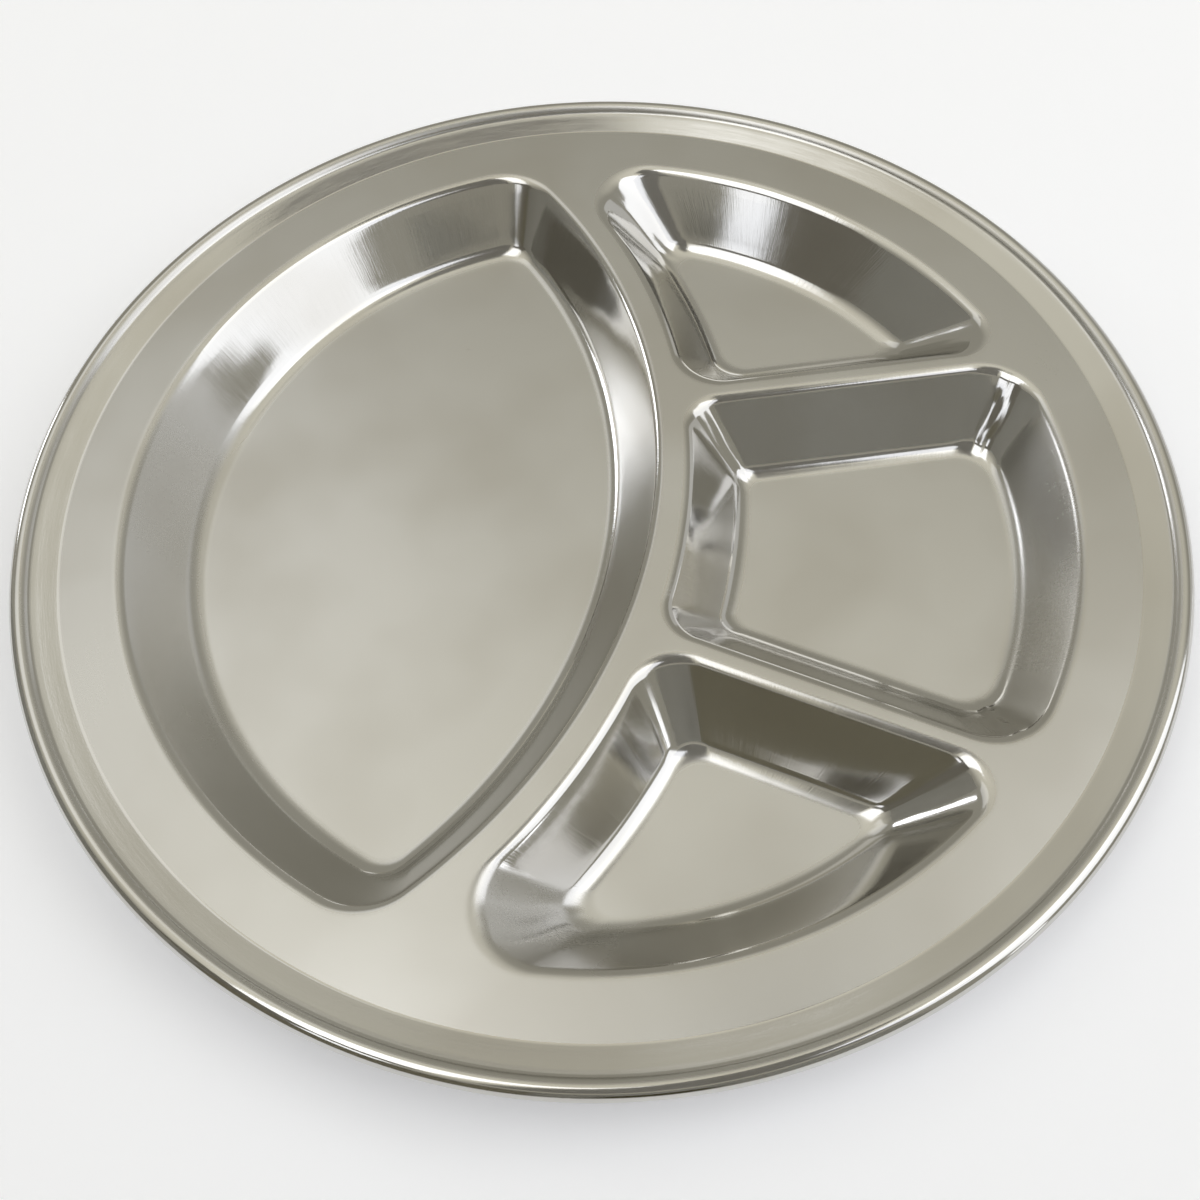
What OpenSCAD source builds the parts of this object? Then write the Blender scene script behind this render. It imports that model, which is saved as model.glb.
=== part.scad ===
// Round steel plate with four pressed wells.
// One thin sheet is pressed into a half-moon well and three small wells, and its edge is
// rolled round a steel wire. The plate stands on the flat floors of its wells.
// The origin is the middle of the underside. +X points to the middle small well.

/* [Plate] */
// Outside diameter over the rolled edge
plate_d = 280; // [250:1:330]
// Thickness of the steel sheet
sheet_t = 0.6; // [0.4:0.1:1]
// Depth of the wells, from the flat border to the inside of their floors
well_depth = 16.4; // [13:0.1:22]

/* [Rolled edge] */
// Outside diameter of the roll
roll_d = 4.8; // [4:0.1:6]
// Distance from the outside of the plate to the bend where the border turns up
band_w = 11; // [9:0.5:16]
// Slope of the band between the flat border and the roll
band_slope = 13; // [8:0.5:18]
// Inside radius of the bend at the foot of the band
bend_r = 3; // [1.5:0.5:5]
// Depth of the roll's middle below the band's upper face, less than half of the roll
roll_sink = 1.45; // [1:0.05:1.8]
// How far the sheet runs round the wire, from where the band meets the roll
roll_turn = 310; // [240:5:320]
// Clearance all round the wire
wire_gap = 0.05; // [0.03:0.01:0.15]

/* [Layout of the wells] */
// Distance from the outside of the plate to the outer edge of the wells
border_w = 23.5; // [21:0.5:35]
// Radius of the curved divider, along the middle of its crest
divider_r = 150.6; // [130:0.1:190]
// Distance of the divider's crest from the plate's middle, toward the small wells
divider_x = 17.6; // [8:0.1:24]
// Width of the flat crest of the curved divider
divider_w = 4.4; // [2:0.1:8]
// Angle of each straight divider from the plate's line of symmetry
spoke_angle = 15.1; // [10:0.1:20]
// Distance of each straight divider's crest from the plate's middle
spoke_x = 29.4; // [26:0.1:33]
// Width of the flat crest of the straight dividers
spoke_w = 1.6; // [1:0.1:5]

/* [Walls of the wells] */
// Radius of the rounded shoulder at the top of each wall
shoulder_r = 4; // [2:0.1:5]
// Radius of the fillet at the foot of each wall
fillet_r = 6.5; // [3:0.1:8]
// Width in plan of the outer walls
outer_run = 18.4; // [15:0.1:20]
// Width in plan of the middle well's outer wall
mid_outer_run = 15; // [12:0.1:20]
// Width in plan of the walls along the straight dividers
spoke_run = 18; // [15:0.1:19]
// Width in plan of the curved divider's wall in the half-moon well
moon_run = 14.5; // [12:0.1:20]
// Width in plan of the curved divider's wall in the small wells
small_run = 18; // [13:0.1:19]

/* [Corners, top edge then floor] */
// Half-moon well, both points
moon_corner = [17, 7]; // [5:0.5:24]
// Middle well, beside the curved divider
mid_inner_corner = [10, 4]; // [3:0.5:12]
// Middle well, beside the border
mid_outer_corner = [16, 8]; // [4:0.5:18]
// Side wells, beside both dividers
side_inner_corner = [13, 7]; // [4:0.5:15]
// Side wells, point beside the half-moon well
side_point = [15, 4]; // [3:0.5:15]
// Side wells, point beside the middle well
side_tip = [10, 3]; // [3:0.5:12]

/* [Hidden] */

plate_r = plate_d / 2;
deck_z = sheet_t + well_depth;      // upper face of the flat border
lap = 0.35 * min(spoke_w, 1.6);     // how far a well's edge reaches into the border's sheet
round_steps = 180;                  // facets round the rim
shoulder_steps = 4;
fillet_steps = 4;
corner_steps = 8;

function unit(a) = [cos(a), sin(a)];
function perp(v) = [-v.y, v.x];
function angle_of(v) = atan2(v.y, v.x);
function turn(a) = a - 360 * floor(a / 360);

// ---- Sides of a well --------------------------------------------------------------
// A side is an arc or a straight line. Each holds its own wall's width in plan.
// way is 1 where the well lies inside the arc, and -1 where it lies outside.
function arc_side(centre, r, way, run, steps) = ["arc", centre, r, way, run, steps];
// The well lies where out * p < reach.
function line_side(out, reach, run) = ["line", out, reach, 1, run, 1];
function is_arc(s) = s[0] == "arc";
// The same side moved into the well by m.
function inset(s, m) = [s[0], s[1], s[2] - s[3] * m, s[3], s[4], s[5]];
// The point of a side nearest to p.
function foot(s, p) =
    is_arc(s) ? s[1] + (p - s[1]) * s[2] / norm(p - s[1]) : p + s[1] * (s[2] - s[1] * p);
// Where two sides cross, one of them an arc, on the crossing nearest to near.
function meet(a, b, near) =
    let (arc = is_arc(a) ? a : b, other = is_arc(a) ? b : a,
         c = arc[1],
         span = is_arc(other) ? norm(other[1] - c) : 1,
         n = is_arc(other) ? (other[1] - c) / span : other[1],
         h = is_arc(other) ? (arc[2] * arc[2] - other[2] * other[2] + span * span) / (2 * span)
                           : other[2] - n * c,
         q = sqrt(max(0, arc[2] * arc[2] - h * h)),
         p = c + n * h + perp(n) * q,
         p2 = c + n * h - perp(n) * q)
    norm(p - near) < norm(p2 - near) ? p : p2;

// ---- The four wells, anticlockwise ------------------------------------------------
// Each entry: a side, the corner radii at its end, and a point near that corner.
divider_c = [divider_x - divider_r, 0];
well_r = plate_r - border_w;
up_out = unit(90 + spoke_angle);
down_out = unit(-90 - spoke_angle);

moon_well = [
    [arc_side([0, 0], well_r, 1, outer_run, 36), moon_corner, [0, -well_r]],
    [arc_side(divider_c, divider_r - divider_w / 2, 1, moon_run, 20), moon_corner, [0, well_r]]
];
mid_well = [
    [arc_side([0, 0], well_r, 1, mid_outer_run, 10), mid_outer_corner, [well_r, spoke_x]],
    [line_side(up_out, spoke_x - spoke_w / 2, spoke_run), mid_inner_corner, [0, spoke_x]],
    [arc_side(divider_c, divider_r + divider_w / 2, -1, small_run, 5), mid_inner_corner,
        [0, -spoke_x]],
    [line_side(down_out, spoke_x - spoke_w / 2, spoke_run), mid_outer_corner,
        [well_r, -spoke_x]]
];
side_well = [
    [arc_side([0, 0], well_r, 1, outer_run, 14), side_point, [0, well_r]],
    [arc_side(divider_c, divider_r + divider_w / 2, -1, small_run, 9), side_inner_corner,
        [0, spoke_x]],
    [line_side(-up_out, -spoke_x - spoke_w / 2, spoke_run), side_tip, [well_r, spoke_x]]
];

// ---- Section of a wall ------------------------------------------------------------
// The wall's slope, from the tangent between the shoulder's and the fillet's circles.
bends = shoulder_r + fillet_r;
wall_slope = let (rise = well_depth - bends, len = norm([outer_run, rise]))
    atan2(rise, outer_run) + asin(bends / len);
// Each step: share of the wall's width, height below the border, slope.
wall_section = concat(
    [for (i = [0 : shoulder_steps]) let (a = wall_slope * i / shoulder_steps)
        [shoulder_r * sin(a) / outer_run, shoulder_r * (cos(a) - 1), a]],
    [for (i = [fillet_steps : -1 : 0]) let (a = wall_slope * i / fillet_steps)
        [1 - fillet_r * sin(a) / outer_run, -well_depth + fillet_r * (1 - cos(a)), a]]
);

// ---- Rings round a well -----------------------------------------------------------
// How far the underside of a side's wall stands outside its upper face.
function backing(s, slope, t) = t * sin(atan(tan(slope) * outer_run / s[4]));
// Points along a side from p to q, without q.
function side_points(s, p, q) =
    is_arc(s)
    ? let (a = angle_of(p - s[1]), b = angle_of(q - s[1]),
           sweep = s[3] > 0 ? turn(b - a) : -turn(a - b))
      [for (i = [0 : s[5] - 1]) s[1] + s[2] * unit(a + sweep * i / s[5])]
    : [p];
// Points round a corner from p to q, without q.
function corner_points(c, p, q) =
    let (a = angle_of(p - c), sweep = turn(angle_of(q - c) - a), r = norm(p - c))
    [for (i = [0 : corner_steps - 1]) c + r * unit(a + sweep * i / corner_steps)];
// The outline of a well at one step of the wall's section, t below its upper face, and
// grown outward by out.
function outline(well, step, t = 0, out = 0) =
    let (n = len(well), share = step[0], slope = step[2],
         sides = [for (w = well) inset(w[0], w[0][4] * share - backing(w[0], slope, t) - out)],
         radii = [for (w = well) w[1][0] + (w[1][1] - w[1][0]) * share + t * sin(slope) + out],
         centres = [for (i = [0 : n - 1])
             meet(inset(sides[i], radii[i]), inset(sides[(i + 1) % n], radii[i]), well[i][2])])
    [for (i = [0 : n - 1])
        let (s = sides[i], next = sides[(i + 1) % n],
             p = foot(s, centres[(i + n - 1) % n]), q = foot(s, centres[i]))
        each concat(side_points(s, p, q), corner_points(centres[i], q, foot(next, centres[i])))];
top_edge = wall_section[0];

// One pressed well, open at the top: lip, walls and floor of the sheet as a closed shell.
module well_shell(well) {
    rings = len(wall_section) + 1;
    count = len(outline(well, top_edge));
    lip = outline(well, top_edge, 0, lap);
    upper = concat([for (p = lip) [p.x, p.y, 0]],
        [for (s = wall_section) each [for (p = outline(well, s)) [p.x, p.y, s[1]]]]);
    lower = concat([for (p = lip) [p.x, p.y, -sheet_t]],
        [for (s = wall_section) each
            [for (p = outline(well, s, sheet_t)) [p.x, p.y, s[1] - sheet_t * cos(s[2])]]]);
    size = rings * count;
    floor_ring = [for (i = [0 : count - 1]) upper[size - count + i]];
    middle = [for (k = [0, 1]) [for (p = floor_ring) p[k]] * [for (p = floor_ring) 1 / count]];
    centre_up = [middle.x, middle.y, -well_depth];
    centre_down = [middle.x, middle.y, -well_depth - sheet_t];
    function at(face, ring, i) = face * size + ring * count + i % count;
    walls = [for (face = [0, 1], ring = [0 : rings - 2], i = [0 : count - 1])
        let (a = at(face, ring, i), b = at(face, ring, i + 1),
             c = at(face, ring + 1, i + 1), d = at(face, ring + 1, i))
        each face == 0 ? [[a, d, b], [b, d, c]] : [[a, b, d], [b, c, d]]];
    edge = [for (i = [0 : count - 1])
        each [[at(0, 0, i), at(0, 0, i + 1), at(1, 0, i)],
              [at(0, 0, i + 1), at(1, 0, i + 1), at(1, 0, i)]]];
    floors = [for (i = [0 : count - 1])
        each [[at(0, rings - 1, i + 1), at(0, rings - 1, i), 2 * size],
              [at(1, rings - 1, i), at(1, rings - 1, i + 1), 2 * size + 1]]];
    translate([0, 0, deck_z])
        polyhedron(concat(upper, lower, [centre_up, centre_down]),
                   concat(walls, edge, floors), convexity = 6);
}

// ---- Rolled edge ------------------------------------------------------------------
roll_r = roll_d / 2;
roll_x = plate_r - roll_r;
bend_x = plate_r - band_w;
roll_z = (roll_x - bend_x) * tan(band_slope) - roll_sink / cos(band_slope);
wire_r = roll_r - sheet_t - wire_gap;
// Where the band's upper face and underside run into the roll, which stands proud of them.
roll_up = 90 + band_slope + acos(roll_sink / roll_r);
roll_under = 90 + band_slope + acos((roll_sink - sheet_t) / (roll_r - sheet_t));
bend_tangent = bend_r * tan(band_slope / 2);

function arc(c, r, from, to, steps) =
    [for (i = [0 : steps]) c + r * unit(from + (to - from) * i / steps)];

// Section of the flat border, the band and the roll, from the plate's axis outward.
rim_section = concat(
    [[0, 0]],
    arc([bend_x - bend_tangent, bend_r], bend_r, -90, -90 + band_slope, 4),
    arc([roll_x, roll_z], roll_r, roll_up, roll_up - roll_turn, 30),
    arc([roll_x, roll_z], roll_r - sheet_t, roll_up - roll_turn, roll_under, 30),
    arc([bend_x - bend_tangent, bend_r], bend_r + sheet_t, -90 + band_slope, -90, 4),
    [[0, -sheet_t]]
);

// The blank: flat border and rolled edge, with an opening for each well.
module blank() {
    translate([0, 0, deck_z])
        rotate_extrude($fn = round_steps)
            polygon(rim_section);
}

module well_openings() {
    translate([0, 0, deck_z - 2 * sheet_t])
        linear_extrude(3 * sheet_t) {
            polygon(outline(moon_well, top_edge, 0, lap / 2));
            polygon(outline(mid_well, top_edge, 0, lap / 2));
            for (m = [0, 1]) mirror([0, m]) polygon(outline(side_well, top_edge, 0, lap / 2));
        }
}

module pressed_plate() {
    color("#b8b5a8") {
        difference() {
            blank();
            well_openings();
        }
        well_shell(moon_well);
        well_shell(mid_well);
        for (m = [0, 1]) mirror([0, m, 0]) well_shell(side_well);
    }
}

// The wire inside the rolled edge.
module rim_wire() {
    color("#8f8f8d")
        translate([0, 0, deck_z + roll_z])
            rotate_extrude($fn = round_steps)
                translate([roll_x, 0])
                    circle(r = wire_r, $fn = 36);
}

pressed_plate();
rim_wire();
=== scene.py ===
import math

import bmesh
import bpy
from mathutils import Matrix, Quaternion, Vector


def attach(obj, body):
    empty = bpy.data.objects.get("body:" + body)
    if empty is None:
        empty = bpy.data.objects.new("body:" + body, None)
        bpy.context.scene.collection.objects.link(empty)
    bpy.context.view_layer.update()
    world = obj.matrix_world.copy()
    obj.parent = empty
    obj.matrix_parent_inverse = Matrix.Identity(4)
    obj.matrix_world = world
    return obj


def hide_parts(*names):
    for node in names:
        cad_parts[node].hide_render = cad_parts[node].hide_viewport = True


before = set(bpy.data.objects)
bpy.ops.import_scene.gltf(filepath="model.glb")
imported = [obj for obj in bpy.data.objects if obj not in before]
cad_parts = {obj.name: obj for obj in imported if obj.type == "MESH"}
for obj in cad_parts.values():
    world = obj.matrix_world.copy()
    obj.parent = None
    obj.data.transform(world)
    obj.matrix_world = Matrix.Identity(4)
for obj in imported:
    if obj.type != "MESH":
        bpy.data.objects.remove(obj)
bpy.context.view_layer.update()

mm = 0.001
scene = bpy.context.scene


def linear(hexCode):  # sRGB hex to the linear colour that the shaders take
    channels = [int(hexCode[i:i + 2], 16) / 255 for i in (1, 3, 5)]
    return tuple(c / 12.92 if c <= 0.04045 else ((c + 0.055) / 1.055) ** 2.4
                 for c in channels) + (1.0,)


def addNode(tree, kind, settings=None, links=None):
    # links maps the new node's sockets, by name or number, to values or to other nodes' outputs
    node = tree.nodes.new(kind)
    for name, value in (settings or {}).items():
        setattr(node, name, value)
    for socket, source in (links or {}).items():
        if isinstance(source, bpy.types.NodeSocket):
            tree.links.new(source, node.inputs[socket])
        else:
            node.inputs[socket].default_value = source
    return node


def newMaterial(name):
    material = bpy.data.materials.new(name)
    material.use_nodes = True
    material.node_tree.nodes.clear()
    return material, material.node_tree


# the pressed sheet, in millimetres and degrees; its sizes are those of the part's own source
sheet = {
    "plateRadius": 140.0,
    "thickness": 0.6,
    "wellDepth": 16.4,
    "rollRadius": 2.4,
    "bandWidth": 11.0,
    "bandSlope": 13.0,
    "bendRadius": 3.0,
    "rollSink": 1.45,
    "rollTurn": 310.0,
    "creaseRadius": 1.6,    # where the band meets the roll
    "borderWidth": 23.5,
    "dividerRadius": 150.6,
    "dividerX": 17.6,
    "dividerWidth": 4.4,
    "spokeAngle": 15.1,
    "spokeX": 29.4,
    "spokeWidth": 1.6,
    "shoulderRadius": 4.0,
    "filletRadius": 6.5,
    "outerRun": 18.4,
    "midOuterRun": 15.0,
    "spokeRun": 18.0,
    "moonRun": 14.5,
    "smallRun": 18.0,
    "moonCorner": (17.0, 7.0),
    "midInnerCorner": (10.0, 4.0),
    "midOuterCorner": (16.0, 8.0),
    "sideInnerCorner": (13.0, 7.0),
    "sidePoint": (15.0, 4.0),
    "sideTip": (10.0, 3.0),
    "shoulderSteps": 9,
    "wallSteps": 7,
    "filletSteps": 11,
    "cornerSteps": 26,
    "lineSteps": 22,        # along a straight side of a well's outline
    "leastSteps": 12,
    "pointSpacing": 1.9,    # along the arcs of a well's outline
    # about how many radians the outer arc and the divider's arc of each well span
    "arcSpans": {"moon": (2.55, 1.15), "middle": (0.5, 0.22), "side": (0.95, 0.42)},
    "guard": 0.45,          # a flat strip round each bend, so that flat steel shades flat
    "rimSegments": 300,
    "bendSteps": 7,
    "bandSteps": 5,
    "creaseSteps": 6,
    "rollSteps": 44,
    "rollInsideSteps": 28,
    "underBendSteps": 5,
    # how bright the drawn steel is, from 0 for satin to 1 for the buffed walls
    "shineAngle": 26.0,     # slope at which a wall is fully bright
    "bandShine": 1.0,
    "bendShine": 0.1,       # at the foot of the band
    "creaseShine": 0.5,
    "flankShine": 0.1,      # the roll's inner flank, which the buffing wheel doesn't reach
    "flankAngle": 114.0,    # where round the roll the flank begins
    "flankSpan": 22.0,      # the turn over which its shine comes back
    "hiddenShine": 0.3,     # inside the roll, and under the band
    # how far the sheet puckered in the middle of each corner when it was pressed
    "puckers": {"moon": (0.0, 0.0), "middle": (0.28, 0.2, 0.0, 0.32), "side": (0.3, 0.0, 0.1)},
    "puckerWidth": 0.11,    # of a corner's sweep
    # how a pucker wanders on its way down: reach, rate, and shift from corner to corner
    "puckerWander": ((0.05, 11, 2), (0.02, 31, 0)),
    # stretches of a wall that the buffing wheel left satin: from and to, where each side of the
    # outline counts half and each corner half, and how much of the drawn shine is gone there
    "softSpans": {"moon": (0.2, 0.44, 0.8), "middle": (0.02, 0.48, 0.75),
                  "side": (2.0, 2.0, 0.0), "nearSide": (0.43, 0.97, 0.85)},
    "softEdge": 0.05,       # how slowly the satin gives way to the shine along a wall
}
deckZ = sheet["thickness"] + sheet["wellDepth"]


# outlines of the wells
def unit(degrees):
    return Vector((math.cos(math.radians(degrees)), math.sin(math.radians(degrees))))


class Side:
    # an arc (way 1 where the well lies inside it, -1 outside), or a straight line facing out
    def __init__(self, kind, anchor, reach, way, run):
        self.kind, self.anchor, self.reach = kind, Vector(anchor), reach
        self.way, self.run = way, run

    def inset(self, distance):
        return Side(self.kind, self.anchor, self.reach - self.way * distance, self.way, self.run)

    def foot(self, point):
        if self.kind == "arc":
            arm = point - self.anchor
            return self.anchor + arm * (self.reach / arm.length)
        return point + self.anchor * (self.reach - self.anchor.dot(point))


def crossing(first, second, near):
    arc, other = (first, second) if first.kind == "arc" else (second, first)
    if other.kind == "arc":
        offset = other.anchor - arc.anchor
        span = offset.length
        normal = offset / span
        height = (arc.reach ** 2 - other.reach ** 2 + span ** 2) / (2 * span)
    else:
        normal = other.anchor
        height = other.reach - normal.dot(arc.anchor)
    half = math.sqrt(max(0.0, arc.reach ** 2 - height ** 2))
    middle, across = arc.anchor + normal * height, Vector((-normal.y, normal.x))
    return min((middle + across * half, middle - across * half), key=lambda p: (p - near).length)


wellRadius = sheet["plateRadius"] - sheet["borderWidth"]
dividerCentre = (sheet["dividerX"] - sheet["dividerRadius"], 0.0)
moonReach = sheet["dividerRadius"] - sheet["dividerWidth"] / 2
smallReach = sheet["dividerRadius"] + sheet["dividerWidth"] / 2
spokeReach = sheet["spokeX"] - sheet["spokeWidth"] / 2
upOut, downOut = unit(90 + sheet["spokeAngle"]), unit(-90 - sheet["spokeAngle"])


def outerSide(run):
    return Side("arc", (0, 0), wellRadius, 1, run)


def wellPlan(name):  # each entry: a side, the corner radii at its end, a point near that corner
    spoke, spokeRun = sheet["spokeX"], sheet["spokeRun"]
    smallSide = Side("arc", dividerCentre, smallReach, -1, sheet["smallRun"])
    if name == "moon":
        moonSide = Side("arc", dividerCentre, moonReach, 1, sheet["moonRun"])
        return [(outerSide(sheet["outerRun"]), sheet["moonCorner"], Vector((0, -wellRadius))),
                (moonSide, sheet["moonCorner"], Vector((0, wellRadius)))]
    if name == "middle":
        inner, outer = sheet["midInnerCorner"], sheet["midOuterCorner"]
        return [(outerSide(sheet["midOuterRun"]), outer, Vector((wellRadius, spoke))),
                (Side("line", upOut, spokeReach, 1, spokeRun), inner, Vector((0, spoke))),
                (smallSide, inner, Vector((0, -spoke))),
                (Side("line", downOut, spokeReach, 1, spokeRun), outer,
                 Vector((wellRadius, -spoke)))]
    return [(outerSide(sheet["outerRun"]), sheet["sidePoint"], Vector((0, wellRadius))),
            (smallSide, sheet["sideInnerCorner"], Vector((0, spoke))),
            (Side("line", -upOut, -spokeReach - sheet["spokeWidth"], 1, spokeRun),
             sheet["sideTip"], Vector((wellRadius, spoke)))]


def pucker(wellName, corner, turned, share):
    # a ridge down the corner with a groove on each side, gone at the wall's edges
    middle = 0.5 + sum(reach * math.sin(rate * share + shift * corner)
                       for reach, rate, shift in sheet["puckerWander"])
    q = (turned - middle) / sheet["puckerWidth"]
    height = sheet["puckers"][wellName][corner] * math.sin(math.pi * share) ** 0.8
    return height * (1 - 2 * q * q) * math.exp(-q * q)


bends = sheet["shoulderRadius"] + sheet["filletRadius"]
rise = sheet["wellDepth"] - bends
wallSlope = math.degrees(math.atan2(rise, sheet["outerRun"])
                         + math.asin(bends / math.hypot(sheet["outerRun"], rise)))


def wallSection():  # steps down a wall: share of its width, height below the border, slope
    run, depth = sheet["outerRun"], sheet["wellDepth"]
    steps = []
    for i in range(sheet["shoulderSteps"] + 1):
        slope = math.radians(wallSlope * i / sheet["shoulderSteps"])
        steps.append((sheet["shoulderRadius"] * math.sin(slope) / run,
                      sheet["shoulderRadius"] * (math.cos(slope) - 1), slope))
    foot = []
    for i in range(sheet["filletSteps"], -1, -1):
        slope = math.radians(wallSlope * i / sheet["filletSteps"])
        foot.append((1 - sheet["filletRadius"] * math.sin(slope) / run,
                     -depth + sheet["filletRadius"] * (1 - math.cos(slope)), slope))
    top, bottom = steps[-1], foot[0]
    for i in range(1, sheet["wallSteps"]):
        share = i / sheet["wallSteps"]
        steps.append(tuple(top[k] + (bottom[k] - top[k]) * share for k in range(3)))
    return steps + foot


def sideCount(side, wellName):
    # the same count at every depth, from the length of the arc at the top edge
    if side.kind == "line":
        return sheet["lineSteps"]
    outerSpan, dividerSpan = sheet["arcSpans"][wellName]
    span = outerSpan if side.anchor.length == 0 else dividerSpan
    return max(sheet["leastSteps"], int(span * side.reach / sheet["pointSpacing"]))


def arcFrom(centre, radius, startAngle, sweep, steps):  # without the arc's last point
    angles = [startAngle + sweep * k / steps for k in range(steps)]
    return [centre + radius * Vector((math.cos(a), math.sin(a))) for a in angles]


def outline(plan, wellName, share, slope, under=0.0, grow=0.0):
    # share is how far down the wall, under how far below its face, grow a widening on the flat
    sides, radii, nears = [], [], []
    for side, (topRadius, floorRadius), near in plan:
        steepness = math.atan(math.tan(slope) * sheet["outerRun"] / side.run)
        sides.append(side.inset(side.run * share - under * math.sin(steepness) - grow))
        radii.append(topRadius + (floorRadius - topRadius) * share
                     + under * math.sin(slope) + grow)
        nears.append(near)
    count = len(plan)
    centres = [crossing(sides[i].inset(radii[i]), sides[(i + 1) % count].inset(radii[i]),
                        nears[i]) for i in range(count)]
    points = []
    for i in range(count):
        side, after = sides[i], sides[(i + 1) % count]
        start, end = side.foot(centres[i - 1]), side.foot(centres[i])
        steps = sideCount(plan[i][0], wellName)
        if side.kind == "arc":
            a, b = start - side.anchor, end - side.anchor
            sweep = side.way * (side.way * (math.atan2(b.y, b.x) - math.atan2(a.y, a.x))
                                % (2 * math.pi))
            points += arcFrom(side.anchor, side.reach, math.atan2(a.y, a.x), sweep, steps)
        else:
            points += [start + (end - start) * (k / steps) for k in range(steps)]
        centre = centres[i]
        p, q = end - centre, after.foot(centre) - centre
        startAngle = math.atan2(p.y, p.x)
        sweep = (math.atan2(q.y, q.x) - startAngle) % (2 * math.pi)
        for k in range(sheet["cornerSteps"]):
            turned = k / sheet["cornerSteps"]
            angle = startAngle + sweep * turned
            radius = radii[i] - pucker(wellName, i, turned, share)
            points.append(centre + radius * Vector((math.cos(angle), math.sin(angle))))
    return points


def wallFinish(plan, wellName, mirrored):  # share of the drawn shine at each outline point
    low, high, loss = sheet["softSpans"]["nearSide" if mirrored else wellName]
    finish = []
    for i, planned in enumerate(plan):
        steps = sideCount(planned[0], wellName)
        places = [i + 0.5 * k / steps for k in range(steps)]
        places += [i + 0.5 + 0.5 * k / sheet["cornerSteps"] for k in range(sheet["cornerSteps"])]
        for place in places:
            inside = min(1.0, max(0.0, min(place - low, high - place) / sheet["softEdge"] + 0.5))
            finish.append(1 - loss * inside * inside * (3 - 2 * inside))
    return finish


# section of the border, the band and the roll
def arcPoints(centre, radius, fromAngle, toAngle, steps):
    return [Vector(centre) + radius * unit(fromAngle + (toAngle - fromAngle) * i / steps)
            for i in range(steps + 1)]


bendX = sheet["plateRadius"] - sheet["bandWidth"]
rollX = sheet["plateRadius"] - sheet["rollRadius"]
rollZ = ((rollX - bendX) * math.tan(math.radians(sheet["bandSlope"]))
         - sheet["rollSink"] / math.cos(math.radians(sheet["bandSlope"])))
bendTangent = sheet["bendRadius"] * math.tan(math.radians(sheet["bandSlope"] / 2))
borderEdge = bendX - bendTangent - sheet["guard"]


def rollMeets(sink, radius):  # angle at the roll's middle where a face of the band meets it
    return 90 + sheet["bandSlope"] + math.degrees(math.acos(sink / radius))


def rimSection():
    # points from the border's upper face, over the roll, to its underside, with their shine
    t, slope = sheet["thickness"], sheet["bandSlope"]
    bend, bendRadius = (bendX - bendTangent, sheet["bendRadius"]), sheet["bendRadius"]
    roll, radius = (rollX, rollZ), sheet["rollRadius"]
    sink, crease = sheet["rollSink"], sheet["creaseRadius"]
    # the crease is a small arc that touches the band's face and the roll
    apart = math.sqrt((radius + crease) ** 2 - (sink + crease) ** 2)
    creaseCentre = Vector(roll) - apart * unit(slope) + (sink + crease) * unit(slope + 90)
    meets = slope - math.degrees(math.atan2(sink + crease, apart))
    rollEnd = rollMeets(sink, radius) - sheet["rollTurn"]
    foot = arcPoints(bend, bendRadius, -90, -90 + slope, sheet["bendSteps"])
    creased = arcPoints(creaseCentre, crease, -90 + slope, meets, sheet["creaseSteps"])
    head = arcPoints(roll, radius, meets + 180, rollEnd, sheet["rollSteps"])[1:]
    band = [foot[-1] + (creased[0] - foot[-1]) * (i / sheet["bandSteps"])
            for i in range(1, sheet["bandSteps"])]
    inner = arcPoints(roll, radius - t, rollEnd, rollMeets(sink - t, radius - t),
                      sheet["rollInsideSteps"])
    under = arcPoints(bend, bendRadius + t, -90 + slope, -90, sheet["underBendSteps"])
    points = [Vector((borderEdge, 0))] + foot + band + creased + head + inner + under
    points.append(Vector((borderEdge, -t)))
    flank = [meets + 180 + (rollEnd - meets - 180) * i / len(head)
             for i in range(1, len(head) + 1)]
    shine = ([0.0, sheet["bendShine"]] + [sheet["bandShine"]] * (len(foot) - 1 + len(band))
             + [sheet["creaseShine"]] * len(creased)
             + [min(1.0, max(sheet["flankShine"], (sheet["flankAngle"] - a) / sheet["flankSpan"]))
                for a in flank]
             + [sheet["hiddenShine"]] * (len(inner) + len(under) + 1))
    return points, shine


def revolveTree(material):
    # the section, as edges in the X-Y plane, is swept round a circle that lies at its first point
    tree = bpy.data.node_groups.new("revolveSection", "GeometryNodeTree")
    tree.is_modifier = True
    tree.interface.new_socket("Geometry", in_out="INPUT", socket_type="NodeSocketGeometry")
    segments = tree.interface.new_socket("Segments", in_out="INPUT", socket_type="NodeSocketInt")
    radius = tree.interface.new_socket("Radius", in_out="INPUT", socket_type="NodeSocketFloat")
    tree.interface.new_socket("Geometry", in_out="OUTPUT", socket_type="NodeSocketGeometry")
    source = addNode(tree, "NodeGroupInput")
    section = addNode(tree, "GeometryNodeMeshToCurve", links={0: source.outputs["Geometry"]})
    path = addNode(tree, "GeometryNodeCurvePrimitiveCircle", links={
        "Resolution": source.outputs["Segments"], "Radius": source.outputs["Radius"]})
    swept = addNode(tree, "GeometryNodeCurveToMesh",
                    links={"Curve": path.outputs["Curve"], "Profile Curve": section.outputs[0]})
    real = addNode(tree, "GeometryNodeRealizeInstances", links={0: swept.outputs[0]})
    painted = addNode(tree, "GeometryNodeSetMaterial",
                      links={"Geometry": real.outputs[0], "Material": material})
    result = addNode(tree, "NodeGroupOutput")
    tree.links.new(painted.outputs[0], result.inputs[0])
    return tree, segments.identifier, radius.identifier


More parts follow.
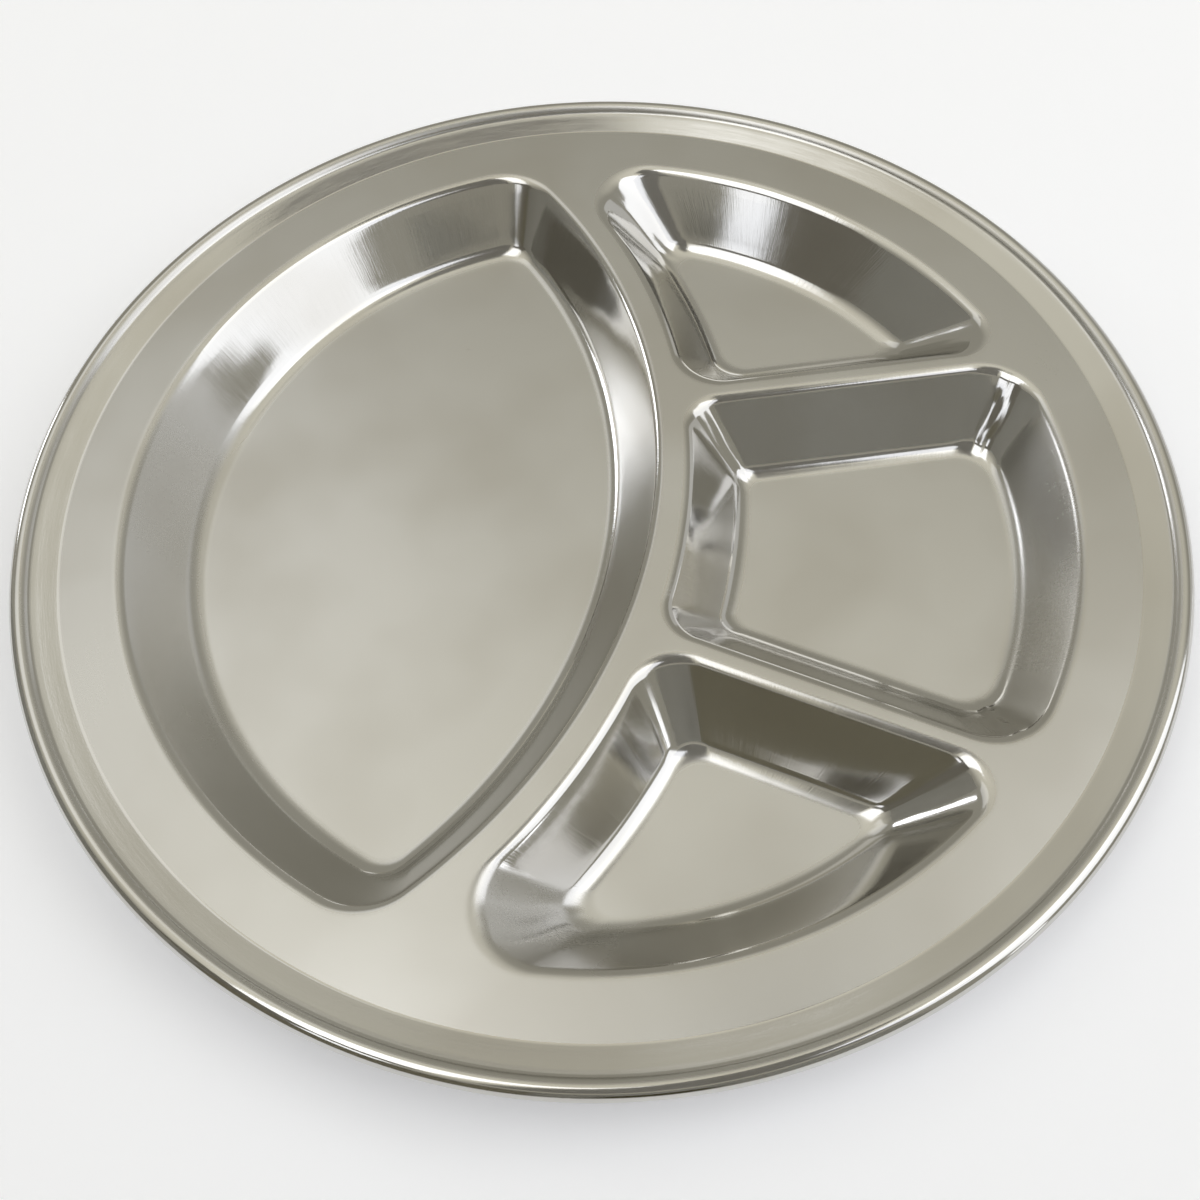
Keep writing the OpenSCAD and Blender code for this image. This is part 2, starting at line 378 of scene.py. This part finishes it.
def revolvedRim(material):
    points, shine = rimSection()
    mesh = bpy.data.meshes.new("rimSection")
    mesh.from_pydata([((p.x - borderEdge) * mm, -p.y * mm, 0) for p in points],
                     [(i, i + 1) for i in range(len(points) - 1)], [])
    down = [0.0]
    for a, b in zip(points, points[1:]):
        down.append(down[-1] + (b - a).length)
    mesh.attributes.new("polish", "FLOAT", "POINT").data.foreach_set("value", shine)
    mesh.attributes.new("down", "FLOAT", "POINT").data.foreach_set("value", down)
    mesh.attributes.new("turned", "FLOAT", "POINT").data.foreach_set("value", [1.0] * len(points))
    section = bpy.data.objects.new("rimSection", mesh)
    scene.collection.objects.link(section)
    tree, segmentsKey, radiusKey = revolveTree(material)
    modifier = section.modifiers.new("revolve", "NODES")
    modifier.node_group = tree
    modifier[segmentsKey] = sheet["rimSegments"]
    modifier[radiusKey] = borderEdge * mm
    made = bpy.data.meshes.new_from_object(
        section.evaluated_get(bpy.context.evaluated_depsgraph_get()))
    bpy.data.objects.remove(section)
    for vert in made.vertices:
        vert.co.z += deckZ * mm
    return made


# the pressed sheet: four wells, the flat border between them and the rim, in one skin
def pressedSheet(material):
    steps = wallSection()
    bm = bmesh.new()
    polish = bm.verts.layers.float.new("polish")   # 0 on satin steel, 1 on drawn and buffed steel
    bm.verts.layers.float.new("turned")            # 1 on the rim, which is spun and not drawn
    sheetUv = bm.loops.layers.uv.new("sheetUv")    # mm round an outline, and down the wall
    borderRings = {0: [], 1: []}

    def ring(points, z, shine, finish):
        made = []
        for point, share in zip(points, finish):
            vert = bm.verts.new((point.x * mm, point.y * mm, (deckZ + z) * mm))
            vert[polish] = shine * share
            made.append(vert)
        return made

    def bridge(first, second, along, downs):
        count = len(first)
        for i in range(count):
            j = (i + 1) % count
            face = bm.faces.new((first[i], first[j], second[j], second[i]))
            spots = ((along[i], downs[0]), (along[i + 1], downs[0]),
                     (along[i + 1], downs[1]), (along[i], downs[1]))
            for loop, spot in zip(face.loops, spots):
                loop[sheetUv].uv = spot

    def well(name, mirrored):
        plan = wellPlan(name)
        top = outline(plan, name, 0, 0)
        finish = wallFinish(plan, name, mirrored)
        along = [0.0]
        for a, b in zip(top, top[1:] + top[:1]):
            along.append(along[-1] + (b - a).length)
        for face in (0, 1):
            t = sheet["thickness"] * face
            rings, downs = [], []

            def addRing(points, z, shine, down):
                if mirrored:
                    points = [Vector((p.x, -p.y)) for p in points]
                rings.append(ring(points, z, shine, finish))
                downs.append(down)

            addRing(outline(plan, name, 0, 0, 0, sheet["guard"]), -t, 0.0, -sheet["guard"])
            down = 0.0
            for k, (share, z, slope) in enumerate(steps):
                shine = min(1.0, math.degrees(slope) / sheet["shineAngle"])
                if k:
                    before = steps[k - 1]
                    down += math.hypot((share - before[0]) * sheet["outerRun"], z - before[1])
                addRing(outline(plan, name, share, slope, t), z - t * math.cos(slope), shine, down)
            addRing(outline(plan, name, 1, 0, 0, -sheet["guard"]), steps[-1][1] - t, 0.0,
                    down + sheet["guard"])
            for a, b, downA, downB in zip(rings, rings[1:], downs, downs[1:]):
                bridge(a, b, along, (downA, downB))
            bm.faces.new(rings[-1])
            borderRings[face].append(rings[0])

    for name, mirrored in (("moon", False), ("middle", False), ("side", False), ("side", True)):
        well(name, mirrored)

    # the flat border, between the wells and the foot of the band
    for face in (0, 1):
        rim = []
        for i in range(sheet["rimSegments"]):
            point = borderEdge * unit(360 * i / sheet["rimSegments"])
            rim.append(bm.verts.new((point.x * mm, point.y * mm,
                                     (deckZ - sheet["thickness"] * face) * mm)))
        edges = []
        for loop in borderRings[face] + [rim]:
            for a, b in zip(loop, loop[1:] + loop[:1]):
                edges.append(bm.edges.get((a, b)) or bm.edges.new((a, b)))
        bmesh.ops.triangle_fill(bm, edges=edges, use_beauty=True, use_dissolve=False,
                                normal=(0, 0, 1))
    for face in bm.faces:
        if all(loop[sheetUv].uv.length == 0 for loop in face.loops):
            for loop in face.loops:
                loop[sheetUv].uv = (loop.vert.co.x / mm, loop.vert.co.y / mm)

    # the rim, with the same map: round the plate, and along the section
    rimMesh = revolvedRim(material)
    firstRim = len(bm.verts)
    bm.from_mesh(rimMesh)
    bm.verts.ensure_lookup_table()
    downLayer = bm.verts.layers.float["down"]
    for face in bm.faces:
        if face.verts[0].index < firstRim:
            continue
        middle = face.calc_center_median()
        mid = math.atan2(middle.y, middle.x)
        for loop in face.loops:
            angle = math.atan2(loop.vert.co.y, loop.vert.co.x)
            angle = mid + (angle - mid + math.pi) % (2 * math.pi) - math.pi
            loop[sheetUv].uv = (angle * sheet["plateRadius"], loop.vert[downLayer])
    bmesh.ops.remove_doubles(bm, verts=bm.verts, dist=1e-6)
    bmesh.ops.recalc_face_normals(bm, faces=bm.faces)
    for face in bm.faces:
        face.smooth = True
    mesh = bpy.data.meshes.new("pressedSheet")
    bm.to_mesh(mesh)
    bm.free()
    mesh.materials.clear()
    mesh.materials.append(material)
    made = bpy.data.objects.new("pressedSheet", mesh)
    scene.collection.objects.link(made)
    return made


satinSteel = {
    "colour": "#cfcecb",
    "shade": "#c6c4bf",          # handled patches, a little duller
    "satinRoughness": (0.27, 0.35),
    "polishedRoughness": (0.06, 0.14),
    "ringSpacing": 0.7,          # mm between buffing rings; the real 0.1 is too fine to show
    "ringReach": 9.0,            # the smaller, the longer the rings' lines
    "streakSpacing": 0.55,       # mm between the draw lines down a wall, coarser than the real 0.2
    "streakStretch": 0.045,      # how much slower the lines change down the wall
    "grain": 0.45,               # mm, satin grain
    "cloud": 38.0,               # mm, broad patches left by the buffing wheel
    "wave": 13.0,                # mm, slight waviness of the drawn walls
    "ringDepth": 0.004,
    "streakDepth": 0.011,
    "grainDepth": 0.0025,
    "waveDepth": 0.075,
}


def satinStainless():
    # cold-rolled 18/8 stainless steel, buffed in rings: soft satin on the flat parts, and near
    # mirror with fine draw lines on the walls and the roll, where the die stretched and rubbed it
    material, tree = newMaterial("satinStainlessSteel")
    coords = addNode(tree, "ShaderNodeTexCoord").outputs["Object"]
    shine = addNode(tree, "ShaderNodeAttribute", {"attribute_name": "polish"}).outputs["Fac"]
    turned = addNode(tree, "ShaderNodeAttribute", {"attribute_name": "turned"}).outputs["Fac"]
    sheetMap = addNode(tree, "ShaderNodeUVMap", {"uv_map": "sheetUv"}).outputs[0]
    axes = addNode(tree, "ShaderNodeSeparateXYZ", links={0: coords}).outputs
    flat = addNode(tree, "ShaderNodeCombineXYZ", links={"X": axes[0], "Y": axes[1]}).outputs[0]
    radius = addNode(tree, "ShaderNodeVectorMath", {"operation": "LENGTH"}, {
        0: flat}).outputs["Value"]
    bearing = addNode(tree, "ShaderNodeVectorMath", {"operation": "NORMALIZE"}, {
        0: flat}).outputs[0]
    outward = addNode(tree, "ShaderNodeMath", {"operation": "ADD"}, {
        0: radius, 1: axes[2]}).outputs[0]
    across = addNode(tree, "ShaderNodeCombineXYZ", links={"Z": outward}).outputs[0]

    # buffing rings: fine across the radius, long round the plate
    ringPlace = addNode(tree, "ShaderNodeVectorMath", {"operation": "MULTIPLY_ADD"}, {
        0: bearing, 1: (satinSteel["ringReach"] * mm,) * 3, 2: across}).outputs[0]
    rings = addNode(tree, "ShaderNodeTexNoise", links={
        "Vector": ringPlace, "Scale": 1 / (satinSteel["ringSpacing"] * mm), "Detail": 4.0,
        "Roughness": 0.65}).outputs["Fac"]
    # draw lines: fine along the outline of a well, long down its wall
    streakPlace = addNode(tree, "ShaderNodeMapping", links={
        "Vector": sheetMap, "Scale": (1.0, satinSteel["streakStretch"], 1.0)}).outputs[0]
    drawLines = addNode(tree, "ShaderNodeTexNoise", links={
        "Vector": streakPlace, "Scale": 1 / satinSteel["streakSpacing"], "Detail": 3.0,
        "Roughness": 0.6}).outputs["Fac"]
    streaks = addNode(tree, "ShaderNodeMix", {"data_type": "FLOAT"}, {
        "Factor": turned, 2: drawLines, 3: rings}).outputs[0]
    grain = addNode(tree, "ShaderNodeTexNoise", links={
        "Vector": coords, "Scale": 1 / (satinSteel["grain"] * mm), "Detail": 2.0}).outputs["Fac"]
    cloud = addNode(tree, "ShaderNodeTexNoise", links={
        "Vector": coords, "Scale": 1 / (satinSteel["cloud"] * mm), "Detail": 2.0,
        "Roughness": 0.4}).outputs["Fac"]
    wave = addNode(tree, "ShaderNodeTexNoise", links={
        "Vector": coords, "Scale": 1 / (satinSteel["wave"] * mm), "Detail": 1.0,
        "Roughness": 0.3}).outputs["Fac"]

    # weighted sums of those patterns, for the roughness and for the height in millimetres
    sums = {"satinFinish": ((cloud, 0.6), (rings, 0.25), (grain, 0.15)),
            "drawnFinish": ((streaks, 0.7), (cloud, 0.3)),
            "satinHeight": ((rings, satinSteel["ringDepth"]), (grain, satinSteel["grainDepth"])),
            "drawnHeight": ((streaks, satinSteel["streakDepth"]), (wave, satinSteel["waveDepth"]))}
    for name, parts in sums.items():
        total = 0.0
        for pattern, weight in parts:
            total = addNode(tree, "ShaderNodeMath", {"operation": "MULTIPLY_ADD"}, {
                0: pattern, 1: weight, 2: total}).outputs[0]
        sums[name] = total
    satinRough = addNode(tree, "ShaderNodeMapRange", links={
        "Value": sums["satinFinish"], "From Min": 0.3, "From Max": 0.7,
        "To Min": satinSteel["satinRoughness"][0],
        "To Max": satinSteel["satinRoughness"][1]}).outputs[0]
    drawnRough = addNode(tree, "ShaderNodeMapRange", links={
        "Value": sums["drawnFinish"], "From Min": 0.35, "From Max": 0.7,
        "To Min": satinSteel["polishedRoughness"][0],
        "To Max": satinSteel["polishedRoughness"][1]}).outputs[0]
    rough = addNode(tree, "ShaderNodeMix", {"data_type": "FLOAT"}, {
        "Factor": shine, 2: satinRough, 3: drawnRough}).outputs[0]
    # the rim is spun, so it has the rings alone, and no draw lines or waviness
    notTurned = addNode(tree, "ShaderNodeMath", {"operation": "SUBTRACT"}, {
        0: 1.0, 1: turned}).outputs[0]
    drawn = addNode(tree, "ShaderNodeMath", {"operation": "MULTIPLY"}, {
        0: shine, 1: notTurned}).outputs[0]
    height = addNode(tree, "ShaderNodeMix", {"data_type": "FLOAT"}, {
        "Factor": drawn, 2: sums["satinHeight"], 3: sums["drawnHeight"]}).outputs[0]
    bump = addNode(tree, "ShaderNodeBump", links={
        "Strength": 1.0, "Distance": mm, "Height": height}).outputs[0]
    handled = addNode(tree, "ShaderNodeMapRange", links={
        "Value": cloud, "From Min": 0.42, "From Max": 0.68}).outputs[0]
    tint = addNode(tree, "ShaderNodeMix", {"data_type": "RGBA"}, {
        "Factor": handled, 6: linear(satinSteel["colour"]),
        7: linear(satinSteel["shade"])}).outputs[2]
    shader = addNode(tree, "ShaderNodeBsdfPrincipled", links={
        "Base Color": tint, "Metallic": 1.0, "Roughness": rough, "Normal": bump})
    addNode(tree, "ShaderNodeOutputMaterial", links={"Surface": shader.outputs[0]})
    return material


wireSteel = {
    "colour": "#a9a9a6",
    "dull": "#7f7e7a",
    "roughness": (0.3, 0.5),
    "dieLine": 0.18,             # mm between the lines that the drawing die leaves
    "lineDepth": 0.002,
    "stain": 9.0,                # mm, duller patches
}


def drawnWire():
    # bright-drawn mild steel wire under the roll: grey, with fine die lines round the plate
    material, tree = newMaterial("drawnSteelWire")
    coords = addNode(tree, "ShaderNodeTexCoord").outputs["Object"]
    axes = addNode(tree, "ShaderNodeSeparateXYZ", links={0: coords}).outputs
    length = addNode(tree, "ShaderNodeVectorMath", {"operation": "LENGTH"}, {
        0: coords}).outputs["Value"]
    linePlace = addNode(tree, "ShaderNodeCombineXYZ", links={
        "X": length, "Y": axes[2]}).outputs[0]
    lines = addNode(tree, "ShaderNodeTexNoise", links={
        "Vector": linePlace, "Scale": 1 / (wireSteel["dieLine"] * mm),
        "Detail": 3.0}).outputs["Fac"]
    stain = addNode(tree, "ShaderNodeTexNoise", links={
        "Vector": coords, "Scale": 1 / (wireSteel["stain"] * mm), "Detail": 3.0}).outputs["Fac"]
    rough = addNode(tree, "ShaderNodeMapRange", links={
        "Value": lines, "From Min": 0.35, "From Max": 0.65,
        "To Min": wireSteel["roughness"][0], "To Max": wireSteel["roughness"][1]}).outputs[0]
    tint = addNode(tree, "ShaderNodeMix", {"data_type": "RGBA"}, {
        "Factor": stain, 6: linear(wireSteel["colour"]), 7: linear(wireSteel["dull"])}).outputs[2]
    bump = addNode(tree, "ShaderNodeBump", links={
        "Strength": 1.0, "Distance": wireSteel["lineDepth"] * mm, "Height": lines}).outputs[0]
    shader = addNode(tree, "ShaderNodeBsdfPrincipled", links={
        "Base Color": tint, "Metallic": 1.0, "Roughness": rough, "Normal": bump})
    addNode(tree, "ShaderNodeOutputMaterial", links={"Surface": shader.outputs[0]})
    return material


steel = satinStainless()
plate = pressedSheet(steel)
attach(plate, "root")
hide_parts("pressed_plate")
print("pressed sheet made:", len(plate.data.polygons), "faces")

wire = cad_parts["rim_wire"]
wire.data.materials.clear()
wire.data.materials.append(drawnWire())
print("wire finished")

# the camera, fitted to the rim and the well edges in the photograph
cameraFit = {
    "turn": 9.2,            # degrees from the plate's own axis to the camera's
    "distance": 325.7,      # millimetres from the aim point
    "elevation": 59.393,
    "roll": -2.0875,
    "aim": (-0.378, -28.03),
    "lens": 42.152,
    "sensor": 36,
    "clipStart": 0.01,      # metres
}
cameraTilt, cameraRoll = math.radians(cameraFit["elevation"]), math.radians(cameraFit["roll"])
forward = Vector((0, math.cos(cameraTilt), -math.sin(cameraTilt)))
level, upward = Vector((1, 0, 0)), Vector((0, math.sin(cameraTilt), math.cos(cameraTilt)))
cameraAxes = Matrix((level * math.cos(cameraRoll) + upward * math.sin(cameraRoll),
                     upward * math.cos(cameraRoll) - level * math.sin(cameraRoll), -forward))
cameraPlace = Vector((*cameraFit["aim"], deckZ)) - forward * cameraFit["distance"]
camera = bpy.data.objects.new("camera", bpy.data.cameras.new("camera"))
camera.data.lens = cameraFit["lens"]
camera.data.sensor_width = cameraFit["sensor"]
camera.data.clip_start = cameraFit["clipStart"]
camera.matrix_world = (Matrix.Rotation(math.radians(cameraFit["turn"]), 4, "Z")
                       @ Matrix.Translation(cameraPlace * mm)
                       @ cameraAxes.transposed().to_4x4())
scene.collection.objects.link(camera)
scene.camera = camera
print("camera placed")

# floor and studio light
scene.view_settings.view_transform = "Standard"
paleFloor = {
    "half": 2,              # metres from the middle to an edge
    "colour": "#f5f6f9",
    "glowColour": "#f8f9ff",
    "glow": 0.26,           # lifts the floor to white where it is seen, and keeps the shadow
    "roughness": 0.9,
}
corners = [(x * paleFloor["half"], y * paleFloor["half"], 0)
           for x, y in ((-1, -1), (1, -1), (1, 1), (-1, 1))]
floorMesh = bpy.data.meshes.new("floor")
floorMesh.from_pydata(corners, [], [(0, 1, 2, 3)])
floor = bpy.data.objects.new("floor", floorMesh)
scene.collection.objects.link(floor)
floorMaterial, floorTree = newMaterial("paleFloor")
floorRays = addNode(floorTree, "ShaderNodeLightPath")
floorSeen = addNode(floorTree, "ShaderNodeMath", {"operation": "MAXIMUM"}, {
    0: floorRays.outputs["Is Camera Ray"], 1: floorRays.outputs["Is Glossy Ray"]})
floorGlow = addNode(floorTree, "ShaderNodeMath", {"operation": "MULTIPLY"}, {
    0: floorSeen.outputs[0], 1: paleFloor["glow"]})
floorShader = addNode(floorTree, "ShaderNodeBsdfPrincipled", links={
    "Base Color": linear(paleFloor["colour"]), "Roughness": paleFloor["roughness"],
    "Specular IOR Level": 0.2, "Emission Color": linear(paleFloor["glowColour"]),
    "Emission Strength": floorGlow.outputs[0]})
addNode(floorTree, "ShaderNodeOutputMaterial", links={"Surface": floorShader.outputs[0]})
floorMesh.materials.append(floorMaterial)
print("floor laid")

studio = {
    "horizon": 0.38,        # the world's light low down, and overhead
    "zenith": 0.9,
    "skyFrom": 0.6,         # height, as a sine, from which the light grows towards the zenith
    "tint": "#fffbea",
    "boxColour": "#f3f6ff",
    # azimuth and elevation from the camera's far side, width, height, distance, radiance, spin
    "boxes": {
        "rightBox": (100, 46, 0.92, 0.98, 1.2, 1.3, 0),
        "overheadBox": (233.5, 61, 0.43, 1.36, 1.2, 1.3, 16),
        "farBox": (322, 54, 0.6, 0.46, 1.2, 0.36, 0),
        "lowBox": (58, 12, 1.0, 0.52, 1.2, 0.28, 0),
        "sideBox": (84, 4, 0.4, 0.1, 1.2, 0.7, 0),
        "spotBox": (123, 11, 0.13, 0.15, 1.2, 2.2, 0),
        "creamBox": (305, 16, 0.26, 0.26, 1.2, 4.2, 0),
        "streakBox": (6, 57, 0.046, 0.04, 0.674, 0.62, 0),
    },
    # curved cards: azimuth from and to, elevation from and to, distance, colour
    "cardCell": 4,          # degrees
    "cards": {
        "greyCard": (138, 292, 1, 36, 1.6, "#c4c3be"),
        "oliveCard": (192, 238, 3, 33, 1.55, "#a29d8b"),
        "darkCard": (168, 182, 6, 20, 1.5, "#6a6551"),
        "stripFlag": (226, 250, 29, 50, 1.1, "#98948a"),
        "cornerFlag": (211, 228, 43, 53, 1.1, "#98958e"),
        "highCard": (118, 202, 45, 74, 1.5, "#b3b1ad"),
        "topCard": (25, 202, 74, 88, 1.5, "#b3b1ad"),
        "streakCard": (349, 361, 55.2, 58.8, 0.674, "#c6c3be"),
    },
}


def studioDirection(azimuth, elevation):
    a, e = math.radians(azimuth - cameraFit["turn"]), math.radians(elevation)
    return Vector((math.sin(a) * math.cos(e), math.cos(a) * math.cos(e), math.sin(e)))


world = bpy.data.worlds.new("studio")
scene.world = world
world.use_nodes = True
world.node_tree.nodes.clear()
skyCoords = addNode(world.node_tree, "ShaderNodeTexCoord")
skyAxes = addNode(world.node_tree, "ShaderNodeSeparateXYZ", links={
    0: skyCoords.outputs["Generated"]})
skyLevel = addNode(world.node_tree, "ShaderNodeMapRange", {
    "interpolation_type": "SMOOTHSTEP"}, {
    "Value": skyAxes.outputs["Z"], "From Min": studio["skyFrom"], "From Max": 1.0,
    "To Min": studio["horizon"], "To Max": studio["zenith"]})
skyTint = addNode(world.node_tree, "ShaderNodeBackground", links={
    "Color": linear(studio["tint"]), "Strength": skyLevel.outputs[0]})
whiteBack = addNode(world.node_tree, "ShaderNodeBackground", links={
    "Color": linear("#ffffff"), "Strength": 1.0})
rays = addNode(world.node_tree, "ShaderNodeLightPath")
sky = addNode(world.node_tree, "ShaderNodeMixShader", links={
    0: rays.outputs["Is Camera Ray"], 1: skyTint.outputs[0], 2: whiteBack.outputs[0]})
addNode(world.node_tree, "ShaderNodeOutputWorld", links={"Surface": sky.outputs[0]})

for name, (azimuth, tilt, width, height, distance, radiance, spin) in studio["boxes"].items():
    lamp = bpy.data.lights.new(name, "AREA")
    lamp.shape, lamp.size, lamp.size_y = "RECTANGLE", width, height
    lamp.energy = radiance * math.pi * width * height
    lamp.color = linear(studio["boxColour"])[:3]
    box = bpy.data.objects.new(name, lamp)
    direction = studioDirection(azimuth, tilt)
    box.location = direction * distance + Vector((0, 0, deckZ * mm))
    box.rotation_euler = (direction.to_track_quat("Z", "Y")
                          @ Quaternion((0, 0, 1), math.radians(spin))).to_euler()
    box.visible_camera = False
    scene.collection.objects.link(box)

for name, (azimuthFrom, azimuthTo, tiltFrom, tiltTo, distance, colour) in studio["cards"].items():
    cardMaterial, cardTree = newMaterial(name)
    cardShader = addNode(cardTree, "ShaderNodeBsdfDiffuse", links={"Color": linear(colour)})
    addNode(cardTree, "ShaderNodeOutputMaterial", links={"Surface": cardShader.outputs[0]})
    wide = math.ceil((azimuthTo - azimuthFrom) / studio["cardCell"])
    high = math.ceil((tiltTo - tiltFrom) / studio["cardCell"])
    corners = [studioDirection(azimuthFrom + (azimuthTo - azimuthFrom) * i / wide,
                               tiltFrom + (tiltTo - tiltFrom) * j / high) * distance
               for i in range(wide + 1) for j in range(high + 1)]
    cells = [(i * (high + 1) + j) for i in range(wide) for j in range(high)]
    cardMesh = bpy.data.meshes.new(name)
    cardMesh.from_pydata(corners, [], [(c, c + 1, c + high + 2, c + high + 1) for c in cells])
    cardMesh.materials.append(cardMaterial)
    card = bpy.data.objects.new(name, cardMesh)
    card.visible_camera = False
    scene.collection.objects.link(card)
print("studio lit:", len(studio["boxes"]), "boxes and", len(studio["cards"]), "cards")
